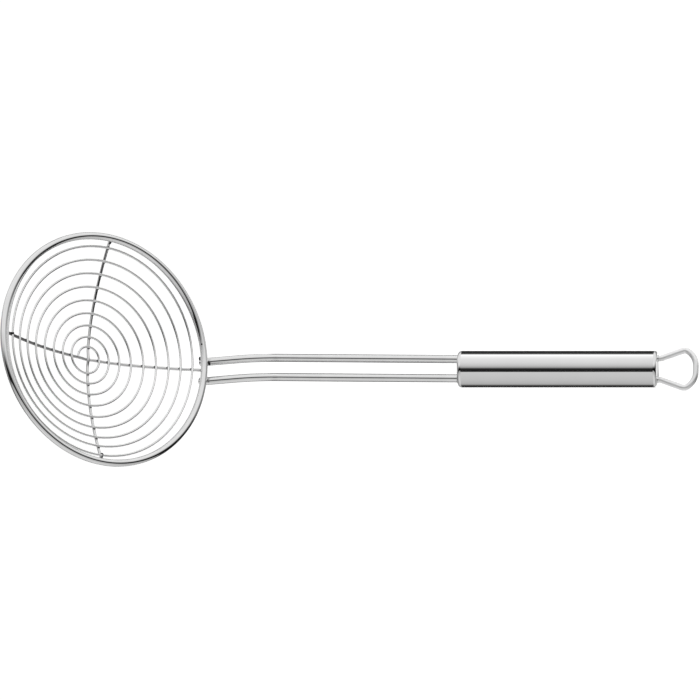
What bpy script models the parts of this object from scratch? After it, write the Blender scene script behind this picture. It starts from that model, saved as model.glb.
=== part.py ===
# Spiral wire skimmer: a shallow bowl of one coiled wire in a round wire rim, on two bent
# rods that run into a tube handle with rounded caps and a wire loop to hang it by.
#
# Metres, +Z up. The handle lies along X with its loop at +X, and Y is across it. The origin
# is under the middle of the whole skimmer, at the height of the handle's lowest facet.
# The bowl is drawn flat in a frame of its own, whose x points to the handle and whose z
# points out of the bowl's mouth, and that frame is then tilted about Y.

import math

import bpy
from mathutils import Matrix, Vector

# Rim
RIM_RADIUS = 0.0606         # to the middle of the wire
RIM_WIRE = 0.0038
BOWL_TILT = 37.2            # degrees between the rim's plane and the handle's axis

# Bowl wire, one spiral from the middle out to the rim
SPIRAL_WIRE = 0.0013
SPIRAL_TURNS = 9.464
SPIRAL_START = 0.00557      # radius where the wire begins
SPIRAL_LEAD_IN = 0.24       # turns in which the first bend opens to the steady step
SPIRAL_OPEN_TURNS = 8.75    # turns that the steady step takes to reach the bowl's edge
SPIRAL_SLACK = 0.00067      # how far the inner turns are wound tighter and the outer ones looser
SPIRAL_OVAL = 0.00030       # how far the outer turns are wider across the bowl than along it
SPIRAL_DRIFT_START = -0.0005    # the first turns' place across the bowl
SPIRAL_DRIFT_END = 0.0022   # the last turns' place across the bowl
SPIRAL_DRIFT_DELAY = 4.2    # 1 is a steady drift, more is a later one
EDGE_TURN = 8.85            # from here on the wire follows the rim
EDGE_JOIN = 0.35            # turns that it takes to swing to that line
EDGE_INSET = 0.00365        # from the rim's middle in to that line
UNDER_TURN = 9.02           # from here on it moves out under the rim
UNDER_SPAN = 0.25           # turns that it takes to lie straight under it
BOWL_DEPTH = 0.01714        # rim's middle to the wire's middle at the bottom
BOWL_FULLNESS = 0.12        # 0 is a plain parabola, more is flatter at the edge

# Ribs under the spiral
RIB_WIRE = 0.0016
RIB_OVERHANG = 0.0004       # how far a rib's ends pass under the last turn
RIB_BOW_SPAN = 0.0048       # half length of the bow where one rib crosses the other
RIB_END = 0.004             # length of the ends that turn aside or rise
LONG_RIB_SIDE = -0.0005     # the long rib's place across the bowl
LONG_RIB_BEND = 0.00066     # how far its ends lie to the right of its middle
LONG_RIB_END_TURN = 0.0008
CROSS_RIB_AHEAD = 0.0010    # the cross rib's place along the bowl
CROSS_RIB_BEND = 0.0017     # how far its ends lie nearer to the handle than its middle
CROSS_RIB_END_TURN = 0.0014
LAST_PASS_LEFT = 8.75       # turns after which the wire passes a rib's end for the last time
LAST_PASS_AWAY = 9.0
LAST_PASS_RIGHT = 9.25

# Shank rods
ROD_WIRE = 0.0042
ROD_SPACING = 0.0104        # between the middles of the two rods
ROD_RISE = 15.8             # degrees that a rod climbs from the rim towards the handle
ROD_FALL = 1.5              # degrees that it drops again into the handle
ROD_BEND = 0.075            # radius of the bend between the two
ROD_STUB = 0.0036           # length past the rim, inside the bowl's edge
ROD_TAIL = 0.009            # length inside the handle
ROD_ENTRY = 0.0008          # height of a rod's middle over the handle's axis at the cap
SHANK_REACH = 0.1327        # rim's near side to the handle's front face

# Handle
HANDLE_DIAMETER = 0.019
HANDLE_LENGTH = 0.1042      # over both caps
HANDLE_OVER_RIM = 0.00046   # handle's axis over the middle of the rim's near side
TUBE_WALL = 0.0008
CAP_WALL = 0.0007
CAP_FACE = 0.001
CAP_SPIGOT = 0.006          # length of the cap's sleeve inside the tube
FRONT_CAP_CORNER = 0.0019
REAR_CAP_CORNER = 0.0027

# Hanging loop
LOOP_WIRE = 0.003
LOOP_LEG_SPACING = 0.0115   # between the middles of the legs where they leave the cap
LOOP_STRAIGHT = 0.0015      # length of leg before it flares
LOOP_SHOULDER_REACH = 0.0143
LOOP_SHOULDER_WIDTH = 0.0208
LOOP_CROWN_WIDTH = 0.0132   # between the corners of the loop's outer end
LOOP_REACH = 0.0198         # cap's face to the middle of the wire at the outer end
LOOP_FLARE_BEND = 0.004
LOOP_SHOULDER_BEND = 0.003
LOOP_CROWN_BEND = 0.0094
LOOP_TAIL = 0.0055          # length of leg inside the handle

GAP = 0.0003                # clearance between pieces that touch

# Fineness
RIM_SEGMENTS = 64
RIM_SIDES = 10
SPIRAL_POINTS_PER_TURN = 32
RIB_SPANS = 64
TURNED_STEPS = 32
CORNER_STEPS = 5
BEND_STEP = 9.0             # degrees of bend between two points of a wire
HOLE_SIDES = 24
MERGE = 0.00001


# Shared workshop functions

def clear_scene():
    for thing in list(bpy.data.objects):
        bpy.data.objects.remove(thing, do_unlink=True)


def new_collection(name):
    collection = bpy.data.collections.new(name)
    bpy.context.scene.collection.children.link(collection)
    return collection


def steel(name, grey, roughness):
    material = bpy.data.materials.new(name)
    material.use_nodes = True
    shader = material.node_tree.nodes["Principled BSDF"]
    shader.inputs["Base Color"].default_value = (grey, grey, grey, 1.0)
    shader.inputs["Metallic"].default_value = 1.0
    shader.inputs["Roughness"].default_value = roughness
    return material


def place(thing, collection, parent, material=None):
    for old in list(thing.users_collection):
        old.objects.unlink(thing)
    collection.objects.link(thing)
    thing.parent = parent
    if material:
        thing.data.materials.append(material)
    return thing


def wire(name, points, diameter, roundness):
    """A round wire with closed ends along a list of points."""
    curve = bpy.data.curves.new(name, "CURVE")
    curve.dimensions = "3D"
    curve.bevel_depth = diameter / 2
    curve.bevel_resolution = roundness
    curve.use_fill_caps = True
    spline = curve.splines.new("POLY")
    spline.points.add(len(points) - 1)
    for point, position in zip(spline.points, points):
        point.co = (*position, 1.0)
    return bpy.data.objects.new(name, curve)


def turned(name, profile, closed):
    """A body turned about its own Z from a profile of (radius, height) pairs."""
    mesh = bpy.data.meshes.new(name)
    edges = [(i, i + 1) for i in range(len(profile) - 1)]
    if closed:
        edges.append((len(profile) - 1, 0))
    mesh.from_pydata([(radius, 0.0, height) for radius, height in profile], edges, [])
    body = bpy.data.objects.new(name, mesh)
    screw = body.modifiers.new("Turn", "SCREW")
    screw.axis = "Z"
    screw.steps = TURNED_STEPS
    screw.render_steps = TURNED_STEPS
    screw.use_merge_vertices = True
    screw.merge_threshold = MERGE
    screw.use_smooth_shade = True
    return body


def rounded_path(corners, bends):
    """Points along straight runs between corners, each inner corner rounded to its radius."""
    points = [corners[0]]
    for before, corner, after, radius in zip(corners, corners[1:], corners[2:], bends):
        arriving = (corner - before).normalized()
        leaving = (after - corner).normalized()
        turn = arriving.angle(leaving)
        cut = radius * math.tan(turn / 2)
        inward = (leaving - arriving).normalized()
        centre = corner + inward * (radius / math.cos(turn / 2))
        start = corner - arriving * cut - centre
        axis = arriving.cross(leaving).normalized()
        steps = max(2, math.ceil(math.degrees(turn) / BEND_STEP))
        for i in range(steps + 1):
            points.append(centre + Matrix.Rotation(turn * i / steps, 3, axis) @ start)
    points.append(corners[-1])
    return points


# Bowl, in its own flat frame

def smooth(share):
    """From 0 to 1 with a soft start and end."""
    share = min(max(share, 0.0), 1.0)
    return share * share * (3 - 2 * share)


def edge_radius():
    """Radius of the line that the wire follows before it moves out under the rim."""
    return RIM_RADIUS - EDGE_INSET


def edge_depth():
    """Depth of the last turn's middle, low enough to lie under the rim."""
    return (RIM_WIRE + SPIRAL_WIRE) / 2 + GAP


def bowl_depth(radius):
    """Depth of the spiral wire's middle below the rim's plane."""
    q = min(radius / edge_radius(), 1.0)
    fall = 1 - (1 + BOWL_FULLNESS) * q ** 2 + BOWL_FULLNESS * q ** 4
    return edge_depth() + (BOWL_DEPTH - edge_depth()) * fall


def bowl_slope(radius):
    """How fast the bowl's surface climbs outwards."""
    if radius > edge_radius():
        return 0.0
    q = radius / edge_radius()
    steepness = 2 * (1 + BOWL_FULLNESS) * q - 4 * BOWL_FULLNESS * q ** 3
    return (BOWL_DEPTH - edge_depth()) * steepness / edge_radius()


def loose_spiral_point(turn):
    """Where the hand wound wire would run, seen from above, if it didn't follow the rim."""
    step = (edge_radius() - SPIRAL_START) / (SPIRAL_OPEN_TURNS - SPIRAL_LEAD_IN)
    eased = turn - SPIRAL_LEAD_IN * (1 - math.exp(-turn / SPIRAL_LEAD_IN))
    share = min(turn / EDGE_TURN, 1)
    angle = math.pi * (1 - 2 * turn)
    slack = SPIRAL_SLACK * math.sin(2 * math.pi * share)
    oval = SPIRAL_OVAL * share * math.cos(2 * angle)
    radius = SPIRAL_START + step * eased - slack - oval
    drift = SPIRAL_DRIFT_END - SPIRAL_DRIFT_START
    drift = SPIRAL_DRIFT_START + drift * share ** SPIRAL_DRIFT_DELAY
    return radius * math.cos(angle), radius * math.sin(angle) + drift


def spiral_point(turn):
    """The spiral wire's middle after so many turns, clockwise seen from above."""
    x, y = loose_spiral_point(turn)
    loose = math.hypot(x, y)
    edge = edge_radius() + EDGE_INSET * smooth((turn - UNDER_TURN) / UNDER_SPAN)
    joined = smooth((turn - EDGE_TURN + EDGE_JOIN) / EDGE_JOIN)
    radius = loose + (edge - loose) * joined
    return Vector((x * radius / loose, y * radius / loose, -bowl_depth(radius)))


def spiral_points():
    count = round(SPIRAL_TURNS * SPIRAL_POINTS_PER_TURN)
    return [spiral_point(SPIRAL_TURNS * i / count) for i in range(count + 1)]


def spiral_least_gap(points):
    """Smallest clear space between one turn of the spiral wire and another."""
    apart = SPIRAL_POINTS_PER_TURN // 2
    least = min((points[i] - points[j]).length
                for i in range(len(points)) for j in range(i + apart, len(points)))
    return least - SPIRAL_WIRE


def rib_bow(along):
    """Height of the bow that lets one rib pass over the other, shared between the two."""
    if abs(along) >= RIB_BOW_SPAN:
        return 0.0
    return (RIB_WIRE + GAP) / 2 * math.cos(math.pi / 2 * along / RIB_BOW_SPAN) ** 2


def under_spiral(x, y):
    """The middle of a rib that lies under the spiral wire at this place."""
    radius = math.hypot(x, y)
    slope = bowl_slope(radius)
    down = Vector((slope * x / radius, slope * y / radius, -1.0)).normalized()
    reach = (SPIRAL_WIRE + RIB_WIRE) / 2 + GAP
    return Vector((x, y, -bowl_depth(radius))) + down * reach


def rib_end(turn):
    """How far out a rib ends, just past the wire's last turn over it."""
    last = spiral_point(turn)
    return math.hypot(last.x, last.y) + RIB_OVERHANG


def end_turn(along, end):
    """From 0 at the start of a rib's turned end to 1 at its tip."""
    return max(0.0, (along - end + RIB_END) / RIB_END) ** 2


def rib_stations(low, high):
    return [low + (high - low) * i / RIB_SPANS for i in range(RIB_SPANS + 1)]


def long_rib_points():
    """Along the bowl, bowed down where the cross rib passes over it, its near end at the rim."""
    far_end = rib_end(LAST_PASS_AWAY)
    rim_seat = -(RIM_WIRE + RIB_WIRE) / 2 - GAP
    points = []
    for along in rib_stations(-far_end, RIM_RADIUS):
        bend = LONG_RIB_BEND * (along / RIM_RADIUS) ** 2
        side = LONG_RIB_SIDE + bend + LONG_RIB_END_TURN * end_turn(-along, far_end)
        point = under_spiral(along, side)
        point.z -= rib_bow(along - CROSS_RIB_AHEAD)
        point.z += (rim_seat - point.z) * smooth((along - RIM_RADIUS + RIB_END) / RIB_END)
        points.append(point)
    return points


def cross_rib_points():
    """Across the bowl, bowed up over the long rib, both ends turned towards the handle."""
    left_end = rib_end(LAST_PASS_LEFT)
    right_end = rib_end(LAST_PASS_RIGHT)
    points = []
    for across in rib_stations(-left_end, right_end):
        bend = CROSS_RIB_BEND * (across / RIM_RADIUS) ** 2
        turned_aside = end_turn(-across, left_end) + end_turn(across, right_end)
        ahead = CROSS_RIB_AHEAD + bend + CROSS_RIB_END_TURN * turned_aside
        point = under_spiral(ahead, across)
        point.z += rib_bow(across - LONG_RIB_SIDE)
        points.append(point)
    return points


def make_rim():
    bpy.ops.mesh.primitive_torus_add(
        major_radius=RIM_RADIUS, minor_radius=RIM_WIRE / 2,
        major_segments=RIM_SEGMENTS, minor_segments=RIM_SIDES)
    rim = bpy.context.object
    rim.name = "rim_ring"
    rim.data.shade_smooth()
    return rim


# Shank rods and handle, in the upright frame with the rim's middle at the origin

def rim_near_side():
    tilt = math.radians(BOWL_TILT)
    return Vector((RIM_RADIUS * math.cos(tilt), 0.0, -RIM_RADIUS * math.sin(tilt)))


def handle_front():
    """The middle of the handle's front face."""
    return rim_near_side() + Vector((SHANK_REACH, 0.0, HANDLE_OVER_RIM))


def handle_rear():
    """The middle of the handle's rear face."""
    return handle_front() + Vector((HANDLE_LENGTH, 0.0, 0.0))


def rod_entry(side):
    """Where a rod's middle passes the handle's front face, and the way it points there."""
    fall = math.radians(ROD_FALL)
    entry = handle_front() + Vector((0.0, side * ROD_SPACING / 2, ROD_ENTRY))
    return entry, Vector((math.cos(fall), 0.0, -math.sin(fall)))


def rod_points(side):
    """From the stub under the rim, up the rise, round the bend and into the handle."""
    rise = math.radians(ROD_RISE)
    tilt = math.radians(BOWL_TILT)
    across = side * ROD_SPACING / 2
    climbing = Vector((math.cos(rise), 0.0, math.sin(rise)))
    below = Vector((math.sin(rise), 0.0, -math.cos(rise)))
    rim_here = math.sqrt(RIM_RADIUS ** 2 - across ** 2)
    rim_middle = Vector((rim_here * math.cos(tilt), across, -rim_here * math.sin(tilt)))
    seat = rim_middle + below * ((RIM_WIRE + ROD_WIRE) / 2 + GAP)
    entry, falling = rod_entry(side)
    between = entry - seat
    run = (between.x * falling.z - between.z * falling.x) / (
        climbing.x * falling.z - climbing.z * falling.x)
    corner = seat + climbing * run
    ends = [seat - climbing * ROD_STUB, corner, entry + falling * ROD_TAIL]
    return rounded_path(ends, [ROD_BEND])


def cap_profile(corner):
    """Half section of a cap, from the middle of its face down its outer side."""
    outer = HANDLE_DIAMETER / 2
    sleeve = outer - TUBE_WALL - GAP
    profile = [(0.0, 0.0)]
    for i in range(CORNER_STEPS + 1):
        angle = math.pi / 2 * i / CORNER_STEPS
        profile.append((outer - corner * (1 - math.sin(angle)), -corner * (1 - math.cos(angle))))
    shoulder = -max(corner, CAP_FACE)
    profile += [
        (outer, shoulder - GAP),
        (sleeve, shoulder - GAP),
        (sleeve, shoulder - GAP - CAP_SPIGOT),
        (sleeve - CAP_WALL, shoulder - GAP - CAP_SPIGOT),
        (sleeve - CAP_WALL, -CAP_FACE - corner / 2),
        (sleeve - CAP_WALL - corner / 2, -CAP_FACE),
        (0.0, -CAP_FACE),
    ]
    return profile


def cap_seam(corner):
    """Length of a cap outside the tube, up to the tube's end."""
    return max(corner, CAP_FACE) + 2 * GAP


def along_handle(outward, origin):
    """Stands a turned body's Z along X, pointing outward, with a facet at the bottom."""
    half_step = math.pi / TURNED_STEPS
    z_axis = Vector((outward, 0.0, 0.0))
    x_axis = Vector((0.0, math.sin(half_step), -math.cos(half_step)))
    y_axis = z_axis.cross(x_axis)
    turn = Matrix((x_axis, y_axis, z_axis)).transposed()
    return Matrix.Translation(origin) @ turn.to_4x4()


def cut_hole(body, name, middle, direction, diameter, cutters, parent):
    """Cuts a round hole through a cap along a wire that passes it."""
    bpy.ops.mesh.primitive_cylinder_add(
        vertices=HOLE_SIDES, radius=diameter / 2 + GAP, depth=2 * (CAP_FACE + HANDLE_DIAMETER / 4))
    cutter = bpy.context.object
    cutter.name = name
    cutter.matrix_basis = Matrix.Translation(middle) @ direction.to_track_quat("Z", "Y").to_matrix().to_4x4()
    cutter.hide_render = True
    cutter.display_type = "WIRE"
    place(cutter, cutters, parent)
    hole = body.modifiers.new(name, "BOOLEAN")
    hole.operation = "DIFFERENCE"
    hole.solver = "EXACT"
    hole.object = cutter


def make_front_cap(cutters, parent):
    cap = turned("handle_front_cap", cap_profile(FRONT_CAP_CORNER), False)
    cap.matrix_basis = along_handle(-1, handle_front())
    for side, name in ((1, "right"), (-1, "left")):
        entry, falling = rod_entry(side)
        cut_hole(cap, "rod_hole_" + name, entry, falling, ROD_WIRE, cutters, parent)
    return cap


def make_rear_cap(cutters, parent):
    cap = turned("handle_rear_cap", cap_profile(REAR_CAP_CORNER), False)
    cap.matrix_basis = along_handle(1, handle_rear())
    for side, name in ((1, "right"), (-1, "left")):
        leg = handle_rear() + Vector((0.0, side * LOOP_LEG_SPACING / 2, 0.0))
        cut_hole(cap, "loop_hole_" + name, leg, Vector((1.0, 0.0, 0.0)), LOOP_WIRE, cutters, parent)
    return cap


def make_tube():
    outer = HANDLE_DIAMETER / 2
    inner = outer - TUBE_WALL
    length = HANDLE_LENGTH - cap_seam(FRONT_CAP_CORNER) - cap_seam(REAR_CAP_CORNER)
    profile = [(outer, 0.0), (outer, -length), (inner, -length), (inner, 0.0)]
    tube = turned("handle_tube", profile, True)
    rear_end = handle_rear() - Vector((cap_seam(REAR_CAP_CORNER), 0.0, 0.0))
    tube.matrix_basis = along_handle(1, rear_end)
    return tube


def loop_points():
    """From one leg inside the cap, round the outer end and back down the other leg."""
    half = [
        (-LOOP_TAIL, LOOP_LEG_SPACING / 2),
        (LOOP_STRAIGHT, LOOP_LEG_SPACING / 2),
        (LOOP_SHOULDER_REACH, LOOP_SHOULDER_WIDTH / 2),
        (LOOP_REACH, LOOP_CROWN_WIDTH / 2),
    ]
    outline = half + [(along, -across) for along, across in reversed(half)]
    corners = [handle_rear() + Vector((along, across, 0.0)) for along, across in outline]
    bends = [LOOP_FLARE_BEND, LOOP_SHOULDER_BEND, LOOP_CROWN_BEND]
    return rounded_path(corners, bends + bends[::-1])


# Placing the whole on its base

def extents(parts):
    """Lowest and highest corner of all the parts together."""
    bpy.context.view_layer.update()
    depsgraph = bpy.context.evaluated_depsgraph_get()
    corners = []
    for part in parts:
        body = part.evaluated_get(depsgraph)
        mesh = body.to_mesh()
        corners += [body.matrix_world @ vertex.co for vertex in mesh.vertices]
        body.to_mesh_clear()
    low = Vector([min(corner[axis] for corner in corners) for axis in range(3)])
    high = Vector([max(corner[axis] for corner in corners) for axis in range(3)])
    return low, high


def report(root, points, low, high):
    """Prints what the record needs."""
    shift = root.location
    facet = HANDLE_DIAMETER / 2 * math.cos(math.pi / TURNED_STEPS)
    middle = (handle_front() + handle_rear()) / 2 + shift
    print("spiral least gap to itself, mm:", round(spiral_least_gap(points) * 1000, 3))
    print("size, mm:", [round(size * 1000, 2) for size in high - low])
    print("rim middle:", [round(value, 5) for value in shift])
    print("handle rest face:", [round(value, 5) for value in middle - Vector((0.0, 0.0, facet))])
    eye = handle_rear() + Vector((LOOP_REACH - LOOP_WIRE / 2, 0.0, 0.0)) + shift
    print("hanging eye, inner side of its outer end:", [round(value, 5) for value in eye])


def main():
    clear_scene()
    parts = new_collection("spiral_skimmer")
    cutters = new_collection("cutters")
    root = place(bpy.data.objects.new("skimmer", None), parts, None)
    bowl = place(bpy.data.objects.new("bowl", None), parts, root)
    bowl.rotation_euler = (0.0, math.radians(BOWL_TILT), 0.0)

    polished = steel("polished_tube_steel", 0.78, 0.12)
    bright = steel("bright_wire_steel", 0.72, 0.22)
    fine = steel("fine_wire_steel", 0.66, 0.28)

    coil = spiral_points()
    made = [
        place(make_rim(), parts, bowl, bright),
        place(wire("basket_spiral", coil, SPIRAL_WIRE, 1), parts, bowl, fine),
        place(wire("long_rib", long_rib_points(), RIB_WIRE, 2), parts, bowl, fine),
        place(wire("cross_rib", cross_rib_points(), RIB_WIRE, 2), parts, bowl, fine),
        place(wire("shank_rod_right", rod_points(1), ROD_WIRE, 4), parts, root, bright),
        place(wire("shank_rod_left", rod_points(-1), ROD_WIRE, 4), parts, root, bright),
        place(make_front_cap(cutters, root), parts, root, polished),
        place(make_tube(), parts, root, polished),
        place(make_rear_cap(cutters, root), parts, root, polished),
        place(wire("hanging_loop", loop_points(), LOOP_WIRE, 4), parts, root, bright),
    ]
    low, high = extents(made)
    root.location = (-(low.x + high.x) / 2, -(low.y + high.y) / 2, -low.z)
    bpy.context.view_layer.update()
    report(root, coil, low, high)


main()
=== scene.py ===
# Looks of a spiral wire skimmer in bright stainless steel: fine wires, welds and finishes
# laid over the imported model, with a pale floor, a soft studio and the camera.
#
# Metres, +Z up. The handle lies along X with its loop at +X, and Y is across it. The bowl is
# worked out flat, with its x towards the handle and its z out of the bowl's mouth, and is
# then tilted about Y round the rim's middle.

import math

import bmesh
import bpy
from mathutils import Matrix, Vector, noise


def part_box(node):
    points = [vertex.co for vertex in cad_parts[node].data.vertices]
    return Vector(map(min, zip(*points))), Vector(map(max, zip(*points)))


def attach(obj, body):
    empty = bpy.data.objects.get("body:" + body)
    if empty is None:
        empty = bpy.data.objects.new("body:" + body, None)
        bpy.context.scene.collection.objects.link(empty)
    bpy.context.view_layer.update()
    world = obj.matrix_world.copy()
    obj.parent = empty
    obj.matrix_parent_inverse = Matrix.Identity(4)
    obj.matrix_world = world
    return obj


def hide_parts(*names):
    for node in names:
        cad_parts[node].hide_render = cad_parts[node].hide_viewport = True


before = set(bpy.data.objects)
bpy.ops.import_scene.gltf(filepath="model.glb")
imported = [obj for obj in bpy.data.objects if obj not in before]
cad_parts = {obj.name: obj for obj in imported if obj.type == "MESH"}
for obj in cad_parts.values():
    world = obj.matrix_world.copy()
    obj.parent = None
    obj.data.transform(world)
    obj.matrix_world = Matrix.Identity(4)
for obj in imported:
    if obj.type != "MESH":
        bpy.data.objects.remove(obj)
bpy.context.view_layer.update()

# Rim
RIM_RADIUS = 0.0606         # to the middle of the wire
RIM_WIRE = 0.0038
RIM_DENT = 0.0003           # how far the hand bent ring is pressed in at its flattest
RIM_DENT_MIDDLE = 230.0     # where that is, in degrees round the ring from the handle
RIM_DENT_SPAN = 75.0        # and how far it reaches to both sides
BOWL_TILT = 37.2            # degrees between the rim's plane and the handle's axis

# Bowl wire, one spiral from the middle out to the rim
SPIRAL_WIRE = 0.0013
SPIRAL_TURNS = 9.464
SPIRAL_START = 0.00557      # radius where the wire begins
SPIRAL_LEAD_IN = 0.24       # turns in which the first bend opens to the steady step
SPIRAL_OPEN_TURNS = 8.75    # turns that the steady step takes to reach the bowl's edge
SPIRAL_SLACK = 0.00067      # how far the inner turns are wound tighter and the outer ones looser
SPIRAL_OVAL = 0.00030       # how far the outer turns are wider across the bowl than along it
SPIRAL_DRIFT_START = -0.0005    # the first turns' place across the bowl
SPIRAL_DRIFT_END = 0.0022   # the last turns' place across the bowl
SPIRAL_DRIFT_DELAY = 4.2    # 1 is a steady drift, more is a later one
EDGE_TURN = 8.85            # from here on the wire follows the rim
EDGE_JOIN = 0.35            # turns that it takes to swing to that line
EDGE_INSET = 0.00365        # from the rim's middle in to the bowl's edge
LAST_TURN_INSET = 0.0042    # from the rim's middle in to that line
UNDER_TURN = 8.965          # from here on it moves out under the rim
UNDER_SPAN = 0.28           # turns that it takes to lie straight under it
BOWL_DEPTH = 0.01714        # rim's middle to the wire's middle at the bottom
BOWL_FULLNESS = 0.12        # 0 is a plain parabola, more is flatter at the edge

# Ribs under the spiral
RIB_WIRE = 0.0016
RIB_OVERHANG = 0.0004       # how far a rib's ends pass under the last turn
RIB_BOW_SPAN = 0.0048       # half length of the bow where one rib crosses the other
RIB_END = 0.004             # length of the ends that turn aside or rise
LONG_RIB_SIDE = -0.0005     # the long rib's place across the bowl
LONG_RIB_BEND = 0.00066     # how far its ends lie to the right of its middle
LONG_RIB_FAR_BEND = 0.0004  # and how much further the end away from the handle does
LONG_RIB_SWAY = 0.0003      # how far it leans to the left between middle and handle
RIB_SWAY_MIDDLE = 0.15      # where that is, as a share of the way to the rim
LONG_RIB_END_TURN = 0.0008
CROSS_RIB_AHEAD = 0.0010    # the cross rib's place along the bowl
CROSS_RIB_BEND = 0.0017     # how far its ends lie nearer to the handle than its middle
CROSS_RIB_END_TURN = 0.0014     # how far the right end turns aside, and the left one
CROSS_RIB_LEFT_TURN = 0.0004
LAST_PASS_LEFT = 8.75       # turns after which the wire passes a rib's end for the last time
LAST_PASS_AWAY = 9.0
LAST_PASS_RIGHT = 9.25

# Shank rods
ROD_WIRE = 0.0042
ROD_SPACING = 0.0104        # between the middles of the two rods
ROD_RISE = 15.8             # degrees that a rod climbs from the rim towards the handle
ROD_FALL = 1.5              # degrees that it drops again into the handle
ROD_BEND = 0.075            # radius of the bend between the two
ROD_STUB = 0.0036           # length past the rim, inside the bowl's edge
ROD_TAIL = 0.009            # length inside the handle
ROD_ENTRY = 0.0008          # height of a rod's middle over the handle's axis at the cap

# Handle
HANDLE_DIAMETER = 0.019
TUBE_WALL = 0.0008
CAP_WALL = 0.0007
CAP_FACE = 0.001
CAP_SPIGOT = 0.006          # length of the cap's sleeve inside the tube
FRONT_CAP_CORNER = 0.0019
REAR_CAP_CORNER = 0.0015
CAP_SEAM = 0.0003           # from the end of a cap's corner to the tube
SEAM_BEVEL = 0.00002        # on both sides of the hairline between cap and tube
HOLE_EASE = 0.0001          # hole in a cap wider than its wire, on the radius

# Hanging loop
LOOP_WIRE = 0.003
LOOP_LEG_SPACING = 0.0115   # between the middles of the legs where they leave the cap
LOOP_STRAIGHT = 0.0015      # length of leg before it flares
LOOP_SHOULDER_REACH = 0.0143
LOOP_SHOULDER_WIDTH = 0.0208
LOOP_CROWN_WIDTH = 0.0132   # between the corners of the loop's outer end
LOOP_REACH = 0.0198         # cap's face to the middle of the wire at the outer end
LOOP_FLARE_BEND = 0.004
LOOP_SHOULDER_BEND = 0.003
LOOP_CROWN_BEND = 0.0094
LOOP_TAIL = 0.0055          # length of leg inside the handle

# Welds
SINK = 0.0001               # how far two welded wires sink into each other
SPOT_ALONG = 0.0007         # half size of a spot weld along the rib
SPOT_ACROSS = 0.0007        # half size of a spot weld along the spiral wire
SPOT_THICK = 0.0006
SPOT_ASIDE = 0.0005         # how far it shows beyond the spiral wire, away from handle or right, where its dark grey is partly painted shadow beside the crossing
LONG_RIB_DARK_SPOT = 0.0525      # bowl's middle to the dark spot near the long rib's end, weld burn and painted shade
CROSS_RIB_DARK_SPOT_LEFT = 0.0557
CROSS_RIB_DARK_SPOT_RIGHT = 0.0588
DARK_SPOT_RAISED = 0.0005        # how far the dark spots stand above the spot welds
DARK_SPOT_SIZES = (0.0011, 0.0009, 0.0009)
FAINT_DARK_SPOT_SIZES = (0.0007, 0.0006, 0.0006)    # the one on the cross rib's right end
RIGHT_BEAD_INSIDE = 0.0031  # rim's middle to the middle of a rod's bead inside the rim
LEFT_BEAD_INSIDE = 0.0025
ROD_BEAD_OUTSIDE = 0.0019   # and to the bead outside it
ROD_BEAD_ALONG = 0.0007     # half sizes of these beads
ROD_BEAD_ACROSS = 0.0010
ROD_BEAD_THICK = 0.0009
RIGHT_BEADS_ASIDE = 0.0015  # how far the beads sit off the middle of their rod
LEFT_BEADS_ASIDE = 0.0006
END_BEAD_ANGLE = 12.6       # place round the rim of the dark bead beside the spiral wire's cut end, weld burn and painted shadow between wire and rim
END_BEAD_SIZE = 0.0006      # its radius
END_BEAD_INWARD = 0.0011    # from the rim's middle, and up from there
END_BEAD_RAISED = 0.0010
COLLAR_WIRE = 0.0007        # thickness of the bead round a wire where it enters a cap
COLLAR_PROUD = COLLAR_WIRE / 6  # how far that bead's middle stands off the wire's skin
COLLAR_LUMPS = 900          # its lumps to a metre
BEAD_LUMPS = 0.12           # share of a bead's size by which its skin goes in and out
LUMPS_PER_RADIUS = 1.6      # lumps to a bead's radius
SEED_STEP = 7.3             # keeps the beads unlike one another

# Fineness
RIM_STEPS = 240
WIRE_SIDES = 24
SPIRAL_STEPS_PER_TURN = 90
FINE_SIDES = 14
RIB_STEPS = 150
TURNED_SIDES = 128
CORNER_STEPS = 12
BEAD_FINENESS = 3           # times that a bead's faces are split in four
BEND_STEP = 2.0             # degrees of bend between two points of a wire
RUN_STEP = 0.003            # between two points of a straight run
CUT_BEVEL = 0.14            # share of the radius taken off the edge of a cut end
SHARP_ANGLE = 34.0

# Camera
CAMERA_AZIMUTH = 21.12      # degrees from straight in front of the handle's side, towards +X
CAMERA_ELEVATION = 72.35
CAMERA_ROLL = -20.22
CAMERA_DISTANCE = 16.8
VIEW_WIDTH = 0.36309        # what the picture takes in at the target's distance
VIEW_TARGET = Vector((-0.00135, 0.00365, 0.03226))
SENSOR = 36.0

# Where things are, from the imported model
ROOT = "root"
rim_low, rim_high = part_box("rim_ring")
front_low, front_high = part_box("handle_front_cap")
rear_low, rear_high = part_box("handle_rear_cap")
RIM_MIDDLE = (rim_low + rim_high) / 2
HANDLE_HEIGHT = (front_low.z + front_high.z) / 2
HANDLE_FRONT = Vector((front_low.x, 0.0, HANDLE_HEIGHT))
HANDLE_REAR = Vector((rear_high.x, 0.0, HANDLE_HEIGHT))
BOWL = Matrix.Translation(RIM_MIDDLE) @ Matrix.Rotation(math.radians(BOWL_TILT), 4, "Y")


# Mesh workshop

def finish_mesh(name, bm):
    """Turns the worked faces outward and makes them a smooth shaded object."""
    bmesh.ops.recalc_face_normals(bm, faces=bm.faces)
    mesh = bpy.data.meshes.new(name)
    bm.to_mesh(mesh)
    bm.free()
    mesh.shade_smooth()
    mesh.set_sharp_from_angle(angle=math.radians(SHARP_ANGLE))
    piece = bpy.data.objects.new(name, mesh)
    bpy.context.scene.collection.objects.link(piece)
    return piece


def add_ring(bm, middle, across, up, radius, sides):
    """A ring of points round a middle, and their places with that middle at zero."""
    ring = []
    flat = []
    for i in range(sides):
        angle = 2 * math.pi * i / sides
        x = radius * math.cos(angle)
        y = radius * math.sin(angle)
        ring.append(bm.verts.new(middle + across * x + up * y))
        flat.append((x, y))
    return ring, flat


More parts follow.
